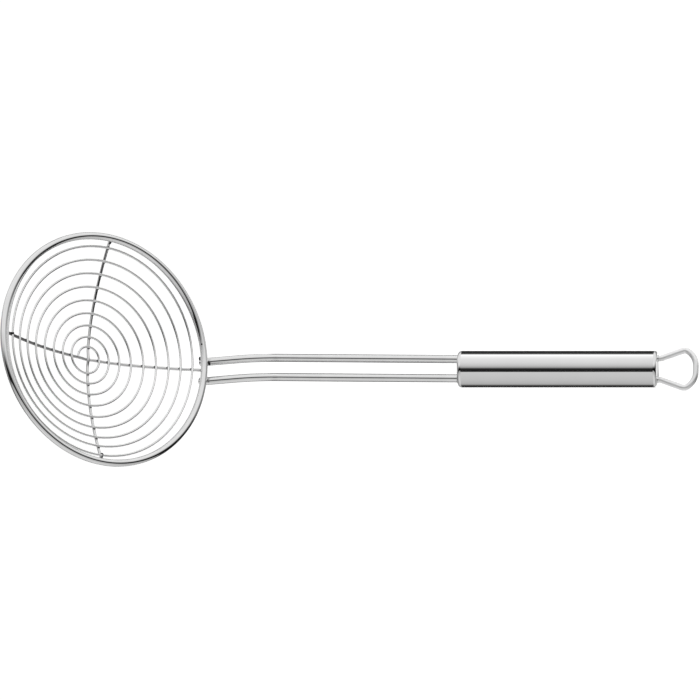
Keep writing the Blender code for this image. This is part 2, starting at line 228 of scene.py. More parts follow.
def add_band(bm, layer, first, second, first_length, second_length):
    """Faces between two rings, each corner told its place on the wire pulled straight."""
    ring_a, flat_a = first
    ring_b, flat_b = second
    sides = len(ring_a)
    for i in range(sides):
        j = (i + 1) % sides
        face = bm.faces.new((ring_a[i], ring_b[i], ring_b[j], ring_a[j]))
        places = (
            (*flat_a[i], first_length),
            (*flat_b[i], second_length),
            (*flat_b[j], second_length),
            (*flat_a[j], first_length),
        )
        for corner, place in zip(face.loops, places):
            corner[layer] = place


def add_lid(bm, layer, end, length):
    """Closes a ring with one flat face."""
    ring, flat = end
    lid = bm.faces.new(ring)
    for corner, place in zip(lid.loops, flat):
        corner[layer] = (*place, length)


def transported_frames(points, closed):
    """For each point the wire's direction and two square directions that don't twist."""
    count = len(points)
    directions = []
    for i in range(count):
        before = points[(i - 1) % count] if closed else points[max(i - 1, 0)]
        after = points[(i + 1) % count] if closed else points[min(i + 1, count - 1)]
        directions.append((after - before).normalized())
    across = directions[0].orthogonal().normalized()
    frames = []
    for i, direction in enumerate(directions):
        if i:
            across = directions[i - 1].rotation_difference(direction) @ across
            across = (across - direction * across.dot(direction)).normalized()
        frames.append((direction, across, direction.cross(across)))
    return frames


def add_wire(bm, points, diameter, sides, closed=False, swell=None):
    """A round wire along points. A closed one is a ring, and the ends of others are bevelled."""
    layer = bm.loops.layers.float_vector.get("straightened")
    layer = layer or bm.loops.layers.float_vector.new("straightened")
    frames = transported_frames(points, closed)
    radius = diameter / 2
    lengths = [0.0]
    for before, after in zip(points, points[1:]):
        lengths.append(lengths[-1] + (after - before).length)
    rings = []
    for i, (point, (_, across, up)) in enumerate(zip(points, frames)):
        here = radius * swell(point) if swell else radius
        rings.append(add_ring(bm, point, across, up, here, sides))
    for i in range(len(points) - 1):
        add_band(bm, layer, rings[i], rings[i + 1], lengths[i], lengths[i + 1])
    if closed:
        whole = lengths[-1] + (points[0] - points[-1]).length
        add_band(bm, layer, rings[-1], rings[0], lengths[-1], whole)
        return
    bevel = radius * CUT_BEVEL
    for end, outward in ((0, -1), (-1, 1)):
        direction, across, up = frames[end]
        middle = points[end] + direction * outward * bevel
        lip = add_ring(bm, middle, across, up, radius - bevel, sides)
        add_band(bm, layer, rings[end], lip, lengths[end], lengths[end] + outward * bevel)
        add_lid(bm, layer, lip, lengths[end] + outward * bevel)


def wire_piece(name, points, diameter, sides, closed=False):
    bm = bmesh.new()
    add_wire(bm, points, diameter, sides, closed)
    return finish_mesh(name, bm)


def turned_bands(profile, outward, origin):
    """Bands of faces turned about X from (radius, distance along) pairs, still to be closed."""
    bm = bmesh.new()
    layer = bm.loops.layers.float_vector.new("straightened")
    across = Vector((0.0, 1.0, 0.0))
    up = Vector((0.0, 0.0, 1.0))
    rings = []
    for radius, along in profile:
        middle = origin + Vector((outward * along, 0.0, 0.0))
        rings.append(add_ring(bm, middle, across, up, radius, TURNED_SIDES))
    heights = [outward * along for _, along in profile]
    for i in range(len(rings) - 1):
        add_band(bm, layer, rings[i], rings[i + 1], heights[i], heights[i + 1])
    return bm, layer, rings, heights


def rounded_path(corners, bends):
    """Points along straight runs between corners, each inner corner rounded to its radius."""
    points = [corners[0]]
    for before, corner, after, radius in zip(corners, corners[1:], corners[2:], bends):
        arriving = (corner - before).normalized()
        leaving = (after - corner).normalized()
        turn = arriving.angle(leaving)
        cut = radius * math.tan(turn / 2)
        inward = (leaving - arriving).normalized()
        centre = corner + inward * (radius / math.cos(turn / 2))
        start = corner - arriving * cut - centre
        axis = arriving.cross(leaving).normalized()
        steps = max(2, math.ceil(math.degrees(turn) / BEND_STEP))
        for i in range(steps + 1):
            points.append(centre + Matrix.Rotation(turn * i / steps, 3, axis) @ start)
    points.append(corners[-1])
    return points


def with_even_runs(points):
    """The same path with points added wherever two of them lie far apart."""
    filled = [points[0]]
    for before, after in zip(points, points[1:]):
        count = max(1, round((after - before).length / RUN_STEP))
        filled += [before.lerp(after, (i + 1) / count) for i in range(count)]
    return filled


# Bowl, worked out flat

EDGE_RADIUS = RIM_RADIUS - EDGE_INSET
EDGE_DEPTH = (RIM_WIRE + SPIRAL_WIRE) / 2 - SINK


def smooth(share):
    """From 0 to 1 with a soft start and end."""
    share = min(max(share, 0.0), 1.0)
    return share * share * (3 - 2 * share)


def bowl_depth(radius):
    """Depth of the spiral wire's middle below the rim's plane."""
    q = min(radius / EDGE_RADIUS, 1.0)
    fall = 1 - (1 + BOWL_FULLNESS) * q ** 2 + BOWL_FULLNESS * q ** 4
    return EDGE_DEPTH + (BOWL_DEPTH - EDGE_DEPTH) * fall


def bowl_slope(radius):
    """How fast the bowl's surface climbs outwards."""
    if radius > EDGE_RADIUS:
        return 0.0
    q = radius / EDGE_RADIUS
    steepness = 2 * (1 + BOWL_FULLNESS) * q - 4 * BOWL_FULLNESS * q ** 3
    return (BOWL_DEPTH - EDGE_DEPTH) * steepness / EDGE_RADIUS


def down_from_bowl(x, y):
    """The direction square to the bowl's surface, out of its underside."""
    radius = max(math.hypot(x, y), SINK)
    slope = bowl_slope(radius)
    return Vector((slope * x / radius, slope * y / radius, -1.0)).normalized()


def loose_spiral_point(turn):
    """Where the hand wound wire would run, seen from above, if it didn't follow the rim."""
    step = (EDGE_RADIUS - SPIRAL_START) / (SPIRAL_OPEN_TURNS - SPIRAL_LEAD_IN)
    eased = turn - SPIRAL_LEAD_IN * (1 - math.exp(-turn / SPIRAL_LEAD_IN))
    share = min(turn / EDGE_TURN, 1)
    angle = math.pi * (1 - 2 * turn)
    slack = SPIRAL_SLACK * math.sin(2 * math.pi * share)
    oval = SPIRAL_OVAL * share * math.cos(2 * angle)
    radius = SPIRAL_START + step * eased - slack - oval
    drift = SPIRAL_DRIFT_END - SPIRAL_DRIFT_START
    drift = SPIRAL_DRIFT_START + drift * share ** SPIRAL_DRIFT_DELAY
    return radius * math.cos(angle), radius * math.sin(angle) + drift


def spiral_point(turn):
    """The spiral wire's middle after so many turns, clockwise seen from above."""
    x, y = loose_spiral_point(turn)
    loose = math.hypot(x, y)
    edge = RIM_RADIUS - LAST_TURN_INSET * (1 - smooth((turn - UNDER_TURN) / UNDER_SPAN))
    joined = smooth((turn - EDGE_TURN + EDGE_JOIN) / EDGE_JOIN)
    radius = loose + (edge - loose) * joined
    return Vector((x * radius / loose, y * radius / loose, -bowl_depth(radius)))


def spiral_points():
    count = round(SPIRAL_TURNS * SPIRAL_STEPS_PER_TURN)
    return [spiral_point(SPIRAL_TURNS * i / count) for i in range(count + 1)]


def spiral_crossings(axis, sideways):
    """Where the spiral wire passes over a rib whose place sideways is a function."""
    found = []
    points = spiral_points()
    for before, after in zip(points, points[1:]):
        start = before[axis] - sideways(before[1 - axis])
        end = after[axis] - sideways(after[1 - axis])
        if start * end < 0:
            found.append(before.lerp(after, start / (start - end)))
    return found


def rib_bow(along):
    """Height of the bow that lets one rib pass over the other, shared between the two."""
    if abs(along) >= RIB_BOW_SPAN:
        return 0.0
    return (RIB_WIRE - SINK) / 2 * math.cos(math.pi / 2 * along / RIB_BOW_SPAN) ** 2


def under_spiral(x, y):
    """The middle of a rib that lies under the spiral wire at this place."""
    reach = (SPIRAL_WIRE + RIB_WIRE) / 2 - SINK
    return Vector((x, y, -bowl_depth(math.hypot(x, y)))) + down_from_bowl(x, y) * reach


def rib_end(turn):
    """How far out a rib ends, just past the wire's last turn over it."""
    last = spiral_point(turn)
    return math.hypot(last.x, last.y) + RIB_OVERHANG


LONG_RIB_FAR = rib_end(LAST_PASS_AWAY)
CROSS_RIB_LEFT = rib_end(LAST_PASS_LEFT)
CROSS_RIB_RIGHT = rib_end(LAST_PASS_RIGHT)


def end_turn(along, end):
    """From 0 at the start of a rib's turned end to 1 at its tip."""
    return max(0.0, (along - end + RIB_END) / RIB_END) ** 2


def long_rib_side(along):
    """The long rib's place across the bowl. Its end away from the handle turns aside."""
    share = along / RIM_RADIUS
    bend = LONG_RIB_BEND * share ** 2 + LONG_RIB_FAR_BEND * max(-share, 0.0) ** 2
    bend -= LONG_RIB_SWAY * max(0.0, math.cos(math.pi * (share - RIB_SWAY_MIDDLE))) ** 2
    return LONG_RIB_SIDE + bend + LONG_RIB_END_TURN * end_turn(-along, LONG_RIB_FAR)


def cross_rib_ahead(across):
    """The cross rib's place along the bowl. Both its ends turn towards the handle."""
    bend = CROSS_RIB_BEND * (across / RIM_RADIUS) ** 2
    bend += CROSS_RIB_LEFT_TURN * end_turn(-across, CROSS_RIB_LEFT)
    bend += CROSS_RIB_END_TURN * end_turn(across, CROSS_RIB_RIGHT)
    return CROSS_RIB_AHEAD + bend


def long_rib_point(along):
    """Along the bowl, bowed down where the cross rib passes over it, its near end at the rim."""
    point = under_spiral(along, long_rib_side(along))
    point.z -= rib_bow(along - CROSS_RIB_AHEAD)
    rim_seat = SINK - (RIM_WIRE + RIB_WIRE) / 2
    point.z += (rim_seat - point.z) * smooth((along - RIM_RADIUS + RIB_END) / RIB_END)
    return point


def cross_rib_point(across):
    """Across the bowl, bowed up over the long rib."""
    point = under_spiral(cross_rib_ahead(across), across)
    point.z += rib_bow(across - LONG_RIB_SIDE)
    return point


def rib_points(low, high, rib_point):
    return [rib_point(low + (high - low) * i / RIB_STEPS) for i in range(RIB_STEPS + 1)]


def rim_points():
    points = []
    for i in range(RIM_STEPS):
        degrees = 360 * i / RIM_STEPS
        aside = abs(degrees - RIM_DENT_MIDDLE) / RIM_DENT_SPAN
        radius = RIM_RADIUS - RIM_DENT * smooth(1 - aside)
        angle = math.radians(degrees)
        points.append(Vector((radius * math.cos(angle), radius * math.sin(angle), 0.0)))
    return points


def tilted(points):
    return [BOWL @ point for point in points]


# Shank rods, handle and loop, in the skimmer's own frame

def rod_entry(side):
    """Where a rod's middle passes the handle's front face, and the way it points there."""
    fall = math.radians(ROD_FALL)
    entry = HANDLE_FRONT + Vector((0.0, side * ROD_SPACING / 2, ROD_ENTRY))
    return entry, Vector((math.cos(fall), 0.0, -math.sin(fall)))


def rod_climb():
    """The way a rod points as it climbs from the rim, and the way square below it."""
    rise = math.radians(ROD_RISE)
    climbing = Vector((math.cos(rise), 0.0, math.sin(rise)))
    below = Vector((math.sin(rise), 0.0, -math.cos(rise)))
    return climbing, below


def rim_over_rod(side):
    """The rim's middle where it passes over a rod."""
    across = side * ROD_SPACING / 2
    return BOWL @ Vector((math.sqrt(RIM_RADIUS ** 2 - across ** 2), across, 0.0))


def rod_points(side):
    """From the stub under the rim, up the rise, round the bend and into the handle."""
    climbing, below = rod_climb()
    seat = rim_over_rod(side) + below * ((RIM_WIRE + ROD_WIRE) / 2 - SINK)
    entry, falling = rod_entry(side)
    between = entry - seat
    run = (between.x * falling.z - between.z * falling.x) / (
        climbing.x * falling.z - climbing.z * falling.x)
    corner = seat + climbing * run
    ends = [seat - climbing * ROD_STUB, corner, entry + falling * ROD_TAIL]
    return with_even_runs(rounded_path(ends, [ROD_BEND]))


def loop_points():
    """From one leg inside the cap, round the outer end and back down the other leg."""
    half = [
        (-LOOP_TAIL, LOOP_LEG_SPACING / 2),
        (LOOP_STRAIGHT, LOOP_LEG_SPACING / 2),
        (LOOP_SHOULDER_REACH, LOOP_SHOULDER_WIDTH / 2),
        (LOOP_REACH, LOOP_CROWN_WIDTH / 2),
    ]
    outline = half + [(along, -across) for along, across in reversed(half)]
    corners = [HANDLE_REAR + Vector((along, across, 0.0)) for along, across in outline]
    bends = [LOOP_FLARE_BEND, LOOP_SHOULDER_BEND, LOOP_CROWN_BEND]
    return with_even_runs(rounded_path(corners, bends + bends[::-1]))


def cap_length(corner):
    """Length of a cap outside the tube."""
    return max(corner, CAP_FACE) + CAP_SEAM


def cap_profile(corner):
    """Half section of a cap, from the middle of its face round its corner to its inside."""
    outer = HANDLE_DIAMETER / 2
    sleeve = outer - TUBE_WALL
    inner = sleeve - CAP_WALL
    length = cap_length(corner)
    profile = [(outer - corner - SEAM_BEVEL, 0.0)]
    for i in range(CORNER_STEPS + 1):
        angle = math.pi / 2 * i / CORNER_STEPS
        profile.append((outer - corner * (1 - math.sin(angle)), corner * (1 - math.cos(angle))))
    return profile + [
        (outer, length - 2 * SEAM_BEVEL),
        (outer, length - SEAM_BEVEL),
        (outer - SEAM_BEVEL, length),
        (sleeve, length),
        (sleeve, length + CAP_SPIGOT),
        (inner, length + CAP_SPIGOT),
        (inner, CAP_FACE),
    ]


def drilled(piece, middle, way, diameter):
    """The piece's mesh with a hole for a wire that passes its face here."""
    reach = way * (2 * CAP_FACE)
    ends = [middle - reach, middle + reach]
    drill = wire_piece("drill", ends, diameter + 2 * HOLE_EASE, WIRE_SIDES)
    hole = piece.modifiers.new("hole", "BOOLEAN")
    hole.object = drill
    hole.solver = "EXACT"
    bpy.context.view_layer.update()
    finished = piece.evaluated_get(bpy.context.evaluated_depsgraph_get())
    mesh = bpy.data.meshes.new_from_object(finished)
    piece.modifiers.clear()
    bpy.data.objects.remove(drill, do_unlink=True)
    return mesh


def make_cap(name, corner, outward, origin, wires):
    """A cap with rounded corner and a hole for each wire, told as (middle, way, diameter)."""
    bm, layer, rings, heights = turned_bands(cap_profile(corner), -outward, origin)
    add_lid(bm, layer, rings[0], heights[0])
    add_lid(bm, layer, rings[-1], heights[-1])
    cap = finish_mesh(name, bm)
    for middle, way, diameter in wires:
        cap.data = drilled(cap, middle, way, diameter)
    return cap


def make_tube():
    """The handle's tube, open at both ends, its edges just broken where the caps meet it."""
    outer = HANDLE_DIAMETER / 2
    inner = outer - TUBE_WALL
    start = cap_length(FRONT_CAP_CORNER)
    end = HANDLE_REAR.x - HANDLE_FRONT.x - cap_length(REAR_CAP_CORNER)
    profile = [
        (inner, start),
        (outer - SEAM_BEVEL, start),
        (outer, start + SEAM_BEVEL),
        (outer, start + 2 * SEAM_BEVEL),
        (outer, end - 2 * SEAM_BEVEL),
        (outer, end - SEAM_BEVEL),
        (outer - SEAM_BEVEL, end),
        (inner, end),
    ]
    bm, layer, rings, heights = turned_bands(profile, 1, HANDLE_FRONT)
    add_band(bm, layer, rings[-1], rings[0], heights[-1], heights[0])
    return finish_mesh("grip_tube", bm)


# Welds

def add_bead(bm, middle, along, across, up, sizes, seed):
    """A lump of weld metal with a slightly uneven skin."""
    made = bmesh.ops.create_icosphere(bm, subdivisions=BEAD_FINENESS, radius=1.0)
    for vertex in made["verts"]:
        place = vertex.co.copy()
        lump = 1 + BEAD_LUMPS * noise.noise(place * LUMPS_PER_RADIUS + Vector((seed, 0.0, 0.0)))
        x, y, z = (value * size * lump for value, size in zip(place, sizes))
        vertex.co = middle + along * x + across * y + up * z


def add_bowl_bead(bm, point, rib_way, sizes, seed):
    """A bead between the spiral wire at this point of the flat bowl and the rib below it."""
    down = down_from_bowl(point.x, point.y)
    along = (rib_way - down * rib_way.dot(down)).normalized()
    rotate = BOWL.to_3x3()
    middle = BOWL @ (point + down * (SPIRAL_WIRE - SINK) / 2)
    add_bead(bm, middle, rotate @ along, rotate @ down.cross(along), rotate @ down, sizes, seed)


def make_spot_welds():
    """The small pressed welds at every place where the spiral wire lies on a rib, their dark grey partly
    weld and partly painted shadow beside the crossing.
    """
    bm = bmesh.new()
    seed = 0.0
    for axis, sideways in ((1, long_rib_side), (0, cross_rib_ahead)):
        rib_way = Vector((float(axis), float(1 - axis), 0.0))
        for point in spiral_crossings(axis, sideways):
            seed += SEED_STEP
            beside = point - rib_way * SPOT_ASIDE
            add_bowl_bead(bm, beside, rib_way, (SPOT_ALONG, SPOT_ACROSS, SPOT_THICK), seed)
    return finish_mesh("rib_spot_welds", bm)


def make_rib_end_welds():
    """The dark spots near the three ends of the ribs that show inside the rim, weld burn and painted
    shade where the ribs' ends meet the last turn.
    """
    bm = bmesh.new()
    lengthwise = Vector((1.0, 0.0, 0.0))
    across = Vector((0.0, 1.0, 0.0))
    left = -CROSS_RIB_DARK_SPOT_LEFT
    right = CROSS_RIB_DARK_SPOT_RIGHT
    ends = (
        (-LONG_RIB_DARK_SPOT, long_rib_side(-LONG_RIB_DARK_SPOT), lengthwise, DARK_SPOT_SIZES),
        (cross_rib_ahead(left), left, across, DARK_SPOT_SIZES),
        (cross_rib_ahead(right), right, across, FAINT_DARK_SPOT_SIZES),
    )
    for i, (x, y, rib_way, sizes) in enumerate(ends):
        point = Vector((x, y, -bowl_depth(math.hypot(x, y))))
        point -= down_from_bowl(x, y) * DARK_SPOT_RAISED
        add_bowl_bead(bm, point, rib_way, sizes, i * SEED_STEP)
    return finish_mesh("rib_end_welds", bm)


def make_rod_welds(name, side, inside, aside):
    """Two small beads on a rod, one on each side of the rim that lies on it, dark partly as weld and
    partly as painted shade in the crevice between them.
    The inner one sits to the right of the rod's middle, and the outer one to the left."""
    climbing, below = rod_climb()
    across = Vector((0.0, 1.0, 0.0))
    seat = rim_over_rod(side) + below * (RIM_WIRE / 2)
    lowered = ROD_WIRE / 2 - math.sqrt((ROD_WIRE / 2) ** 2 - aside ** 2)
    sizes = (ROD_BEAD_ALONG, ROD_BEAD_ACROSS, ROD_BEAD_THICK)
    bm = bmesh.new()
    for way, offset, drop in ((-1, inside, 0.0), (1, ROD_BEAD_OUTSIDE, lowered)):
        middle = seat + climbing * way * offset - across * way * aside + below * drop
        add_bead(bm, middle, climbing, across, below, sizes, (way + 2 * side) * SEED_STEP)
    return finish_mesh(name, bm)


def make_end_bead():
    """The dark bead on the rim's inner side, over the last stretch of the spiral wire, weld burn and
    painted shadow where the wire meets the rim.
    """
    angle = math.radians(END_BEAD_ANGLE)
    outward = Vector((math.cos(angle), math.sin(angle), 0.0))
    raised = Vector((0.0, 0.0, 1.0))
    flat = outward * (RIM_RADIUS - END_BEAD_INWARD) + raised * END_BEAD_RAISED
    rotate = BOWL.to_3x3()
    bm = bmesh.new()
    add_bead(bm, BOWL @ flat, rotate @ outward, rotate @ outward.cross(raised), rotate @ raised,
             [END_BEAD_SIZE] * 3, SEED_STEP)
    return finish_mesh("spiral_end_weld", bm)


def make_collar(name, middle, way, diameter):
    """The bead round a wire where it enters a cap's face."""
    bm = bmesh.new()
    across = way.orthogonal().normalized()
    up = way.cross(across)
    radius = diameter / 2 + COLLAR_PROUD
    points = []
    for i in range(2 * WIRE_SIDES):
        angle = math.pi * i / WIRE_SIDES
        points.append(middle + (across * math.cos(angle) + up * math.sin(angle)) * radius)
    add_wire(bm, points, COLLAR_WIRE, FINE_SIDES, True,
             swell=lambda point: 1 + BEAD_LUMPS * noise.noise(point * COLLAR_LUMPS))
    return finish_mesh(name, bm)


# Material workshop

def new_group(name, inputs, outputs):
    """A shader node group with value inputs and (name, kind) outputs, and its two end nodes."""
    group = bpy.data.node_groups.new(name, "ShaderNodeTree")
    for socket in inputs:
        group.interface.new_socket(socket, in_out="INPUT", socket_type="NodeSocketFloat")
    for socket, kind in outputs:
        group.interface.new_socket(socket, in_out="OUTPUT", socket_type=kind)
    start = group.nodes.new("NodeGroupInput")
    end = group.nodes.new("NodeGroupOutput")
    return group, start, end


def math_node(tree, operation, first, second):
    """A Math node. Each operand is a socket or a number."""
    node = tree.nodes.new("ShaderNodeMath")
    node.operation = operation
    for socket, value in zip(node.inputs, (first, second)):
        if isinstance(value, (int, float)):
            socket.default_value = value
        else:
            tree.links.new(value, socket)
    return node.outputs["Value"]


def noise_mask(tree, place, detail):
    """A cloudy mask with one patch to each unit of the place."""
    mask = tree.nodes.new("ShaderNodeTexNoise")
    mask.inputs["Scale"].default_value = 1.0
    mask.inputs["Detail"].default_value = detail
    tree.links.new(place, mask.inputs["Vector"])
    return mask.outputs["Fac"]


def make_drawn_lines():
    """Fine lines that drawing through a die leaves along a wire, and cloudy patches of polish.
    Along is the distance from the wire's first end."""
    group, start, end = new_group(
        "drawn_lines",
        ("Line Width", "Line Length", "Patch Size"),
        (("Lines", "NodeSocketFloat"), ("Patches", "NodeSocketFloat"), ("Along", "NodeSocketFloat")))
    place = group.nodes.new("ShaderNodeAttribute")
    place.attribute_name = "straightened"
    parts = group.nodes.new("ShaderNodeSeparateXYZ")
    group.links.new(place.outputs["Vector"], parts.inputs["Vector"])
    group.links.new(parts.outputs["Z"], end.inputs["Along"])
    squeezed = group.nodes.new("ShaderNodeCombineXYZ")
    for axis, size in (("X", "Line Width"), ("Y", "Line Width"), ("Z", "Line Length")):
        scaled = math_node(group, "DIVIDE", parts.outputs[axis], start.outputs[size])
        group.links.new(scaled, squeezed.inputs[axis])
    lines = noise_mask(group, squeezed.outputs["Vector"], LINE_DETAIL)
    group.links.new(lines, end.inputs["Lines"])
    shrunk = group.nodes.new("ShaderNodeVectorMath")
    shrunk.operation = "DIVIDE"
    group.links.new(place.outputs["Vector"], shrunk.inputs[0])
    group.links.new(start.outputs["Patch Size"], shrunk.inputs[1])
    patches = noise_mask(group, shrunk.outputs["Vector"], PATCH_DETAIL)
    group.links.new(patches, end.inputs["Patches"])
    return group


def make_spread():
    """A value, and a grey, that goes from one figure to another as a mask goes up."""
    group, start, end = new_group(
        "spread",
        ("Mask", "Low", "High"),
        (("Value", "NodeSocketFloat"), ("Grey", "NodeSocketColor")))
    spread = group.nodes.new("ShaderNodeMapRange")
    spread.inputs["From Min"].default_value = MASK_LOW
    spread.inputs["From Max"].default_value = MASK_HIGH
    group.links.new(start.outputs["Mask"], spread.inputs["Value"])
    group.links.new(start.outputs["Low"], spread.inputs["To Min"])
    group.links.new(start.outputs["High"], spread.inputs["To Max"])
    group.links.new(spread.outputs["Result"], end.inputs["Value"])
    grey = group.nodes.new("ShaderNodeCombineColor")
    for channel in ("Red", "Green", "Blue"):
        group.links.new(spread.outputs["Result"], grey.inputs[channel])
    group.links.new(grey.outputs["Color"], end.inputs["Grey"])
    return group


def place_group(tree, group, values, links=()):
    """A group's node, its inputs set to values or linked from (input, source) pairs."""
    node = tree.nodes.new("ShaderNodeGroup")
    node.node_tree = group
    for socket, value in values.items():
        node.inputs[socket].default_value = value
    for socket, source in links:
        tree.links.new(source, node.inputs[socket])
    return node


def steel(name, grey, roughness, marks_sizes, relief_height, darker_end=None):
    """Steel with grey and roughness told as (low, high).
    A wire with a darker end starts with a share of its brightness and has it all after a length."""
    material = bpy.data.materials.new(name)
    material.use_nodes = True
    tree = material.node_tree
    shader = tree.nodes["Principled BSDF"]
    shader.inputs["Metallic"].default_value = 1.0
    width, length, patch = marks_sizes
    marks = place_group(tree, DRAWN_LINES,
                        {"Line Width": width, "Line Length": length, "Patch Size": patch})
    tone = place_group(tree, SPREAD, {"Low": grey[0], "High": grey[1]},
                       [("Mask", marks.outputs["Patches"])])
    colour = tone.outputs["Grey"]
    # Darker end: the grey is scaled from a share at the wire's first end up to full after a length.
    if darker_end:
        share, faded_length = darker_end
        fading = tree.nodes.new("ShaderNodeMapRange")
        fading.inputs["From Max"].default_value = faded_length
        fading.inputs["To Min"].default_value = share
        tree.links.new(marks.outputs["Along"], fading.inputs["Value"])
        scaled = tree.nodes.new("ShaderNodeVectorMath")
        scaled.operation = "SCALE"
        tree.links.new(colour, scaled.inputs["Vector"])
        tree.links.new(fading.outputs["Result"], scaled.inputs["Scale"])
        colour = scaled.outputs["Vector"]
    tree.links.new(colour, shader.inputs["Base Color"])
    gloss = place_group(tree, SPREAD, {"Low": roughness[0], "High": roughness[1]},
                        [("Mask", marks.outputs["Lines"])])
    tree.links.new(gloss.outputs["Value"], shader.inputs["Roughness"])
    relief = tree.nodes.new("ShaderNodeBump")
    relief.inputs["Strength"].default_value = 1.0
    relief.inputs["Distance"].default_value = relief_height
    tree.links.new(marks.outputs["Lines"], relief.inputs["Height"])
    tree.links.new(relief.outputs["Normal"], shader.inputs["Normal"])
    return material


# Width and length of the drawn lines, and size of the patches, on each kind of piece
TUBE_MARKS = (0.0004, 0.03, 0.02)
WIRE_MARKS = (0.00025, 0.02, 0.008)
FINE_MARKS = (0.00015, 0.012, 0.004)
WELD_MARKS = (0.0005, 0.0005, 0.0009)
DRAWN_RELIEF = 0.0000005    # depth of the marks
PRESSED_RELIEF = 0.000002
WELD_RELIEF = 0.00001
BURNT_RELIEF = 0.00002
LINE_DETAIL = 2.0
PATCH_DETAIL = 3.0
MASK_LOW = 0.25             # between these two lies nearly all of a cloudy mask
MASK_HIGH = 0.75
RIB_GREY = (0.66, 0.80)
FINE_GLOSS = (0.08, 0.16)
RIB_FAR_END_DARKENING = (0.2, 0.065)   # the far end's share of brightness, and how far in the darkening reaches

DRAWN_LINES = make_drawn_lines()
SPREAD = make_spread()
POLISHED = steel("polished_tube_steel", (0.79, 0.82), (0.03, 0.05), TUBE_MARKS, DRAWN_RELIEF)
BRIGHT = steel("bright_wire_steel", (0.77, 0.83), (0.06, 0.11), WIRE_MARKS, DRAWN_RELIEF)
# The spiral wire's steel: its grey is raised above the ribs' as painted highlight, for bright sides that
# merge into the white around them.
FINE_WITH_PAINTED_LIGHT = steel("fine_wire_steel", (0.86, 0.94), FINE_GLOSS, FINE_MARKS, DRAWN_RELIEF)
RIB = steel("rib_wire_steel", RIB_GREY, FINE_GLOSS, FINE_MARKS, DRAWN_RELIEF)
RIB_DARKER_AT_FAR_END = steel("darker_end_rib_steel", RIB_GREY, FINE_GLOSS, FINE_MARKS, DRAWN_RELIEF, RIB_FAR_END_DARKENING)
# The loop's steel: rougher, and its grey raised above the rods' as painted light, for the loop's
# washed-out brightness.
SATIN_WITH_PAINTED_LIGHT = steel("satin_wire_steel_with_painted_light", (0.92, 0.98), (0.42, 0.50), WIRE_MARKS, DRAWN_RELIEF)
# Nearly black: weld colour, and painted shadow in the notch where the spiral wire crosses a rib.
PRESSED_WELD_AND_SHADE = steel("pressed_weld_and_shade_steel", (0.06, 0.18), (0.3, 0.45), WELD_MARKS, PRESSED_RELIEF)
# Weld grey, which on the left rod's beads by the rim is also painted shade in the crevice.
WELD_AND_SHADE = steel("weld_and_shade_steel", (0.30, 0.50), (0.3, 0.5), WELD_MARKS, WELD_RELIEF)
# Nearly black: weld burn, and painted shade in the crevices at the rim and at the ribs' ends.
BURNT_AND_SHADE = steel("burnt_weld_and_shade_steel", (0.015, 0.05), (0.35, 0.55), WELD_MARKS, BURNT_RELIEF)


# Studio

def make_floor():
    """A pale floor that glows just enough to be pure white, and that steel doesn't mirror."""
    bm = bmesh.new()
    bmesh.ops.create_grid(bm, x_segments=1, y_segments=1, size=FLOOR_REACH)
    floor = finish_mesh("floor", bm)
    floor.location.z = -FLOOR_GAP
    floor.visible_glossy = False
    material = bpy.data.materials.new("pale_floor")
    material.use_nodes = True
    shader = material.node_tree.nodes["Principled BSDF"]
    shader.inputs["Base Color"].default_value = (FLOOR_SHADE, FLOOR_SHADE, FLOOR_SHADE, 1.0)
    shader.inputs["Roughness"].default_value = FLOOR_ROUGHNESS
    shader.inputs["Emission Color"].default_value = (1.0, 1.0, 1.0, 1.0)
    shader.inputs["Emission Strength"].default_value = TABLE_GLOW
    material.cycles.emission_sampling = "NONE"
    floor.data.materials.append(material)


# Brightness of the studio round the handle's line. Degrees from straight up, the far side +.
# The first list holds close round the middle of the studio, with black cards below on both
# sides, and the second one towards its two ends.
STUDIO_MIDDLE = (
    (-180, 0.025),
    (-141, 0.04),
    (-130, 0.33),
    (-118, 0.43),
    (-90, 0.50),
    (-60, 0.54),
    (-35, 0.57),
    (-33, 0.04),
    (-30, 0.012),
    (-17, 0.012),
    (-11, 0.07),
    (-5, 0.34),
    (6, 0.52),
    (25, 0.66),
    (50, 0.74),
    (72, 0.90),
    (80, 1.05),
    (86, 1.05),
    (94, 0.30),
    (100, 0.03),
    (150, 0.02),
    (180, 0.02),
)
STUDIO_ENDS = (
    (-90, 0.60),
    (-62, 0.62),
    (-50, 0.54),
    (-42, 0.48),
    (-32, 0.42),
    (-27, 0.36),
    (-24, 0.02),
    (-22, 0.005),
    (-11, 0.005),
    (-7, 0.12),
    (-3, 0.26),
    (2, 0.47),
    (8, 0.62),
    (16, 0.72),
    (45, 0.74),
    (90, 0.78),
)
STEEL_SHARE = 0.8           # of the light that the steel gives back
STUDIO_TOP = 1.4            # brightest that the ramp can hold
CARDS_ALONG = -0.1085       # the black cards' middle, as the X of a direction
CARDS_EDGES = (0.0155, 0.0195)  # how far from there, as X, the cards start and end to fade
SLIT_MIDDLE = -15.0         # degrees towards the near side
SLIT_WIDENED = 0.35         # how much wider the dark slit is beyond the handle's end
SLIT_SWING = 11.0           # degrees that it swings there towards the middle
SLIT_EDGES = (0.6, 1.0)     # where, as X, it starts and ends to do so
WALL_LIGHT = 0.27           # the grey wall beyond the bowl
WALL_EDGES = (-0.80, -0.97)     # where, as X, it starts and is all there is
GROUND_LIGHT = 0.60         # what steel shows of the floor
GROUND_EDGES = (-0.6, -1.0)     # where, as Z, the floor starts and is all there is
LOW_CARDS_LIGHT = 0.30      # grey cards low down that outline the caps' corners and the rim
LOW_CARDS_EDGES = (0.035, 0.05)     # how far from the black cards' middle, as X, they start
FAR_CARD_ACROSS = (0.36, 0.44)      # edges of the one on the far side, as Y and as Z
FAR_CARD_UP = (-0.35, -0.45)
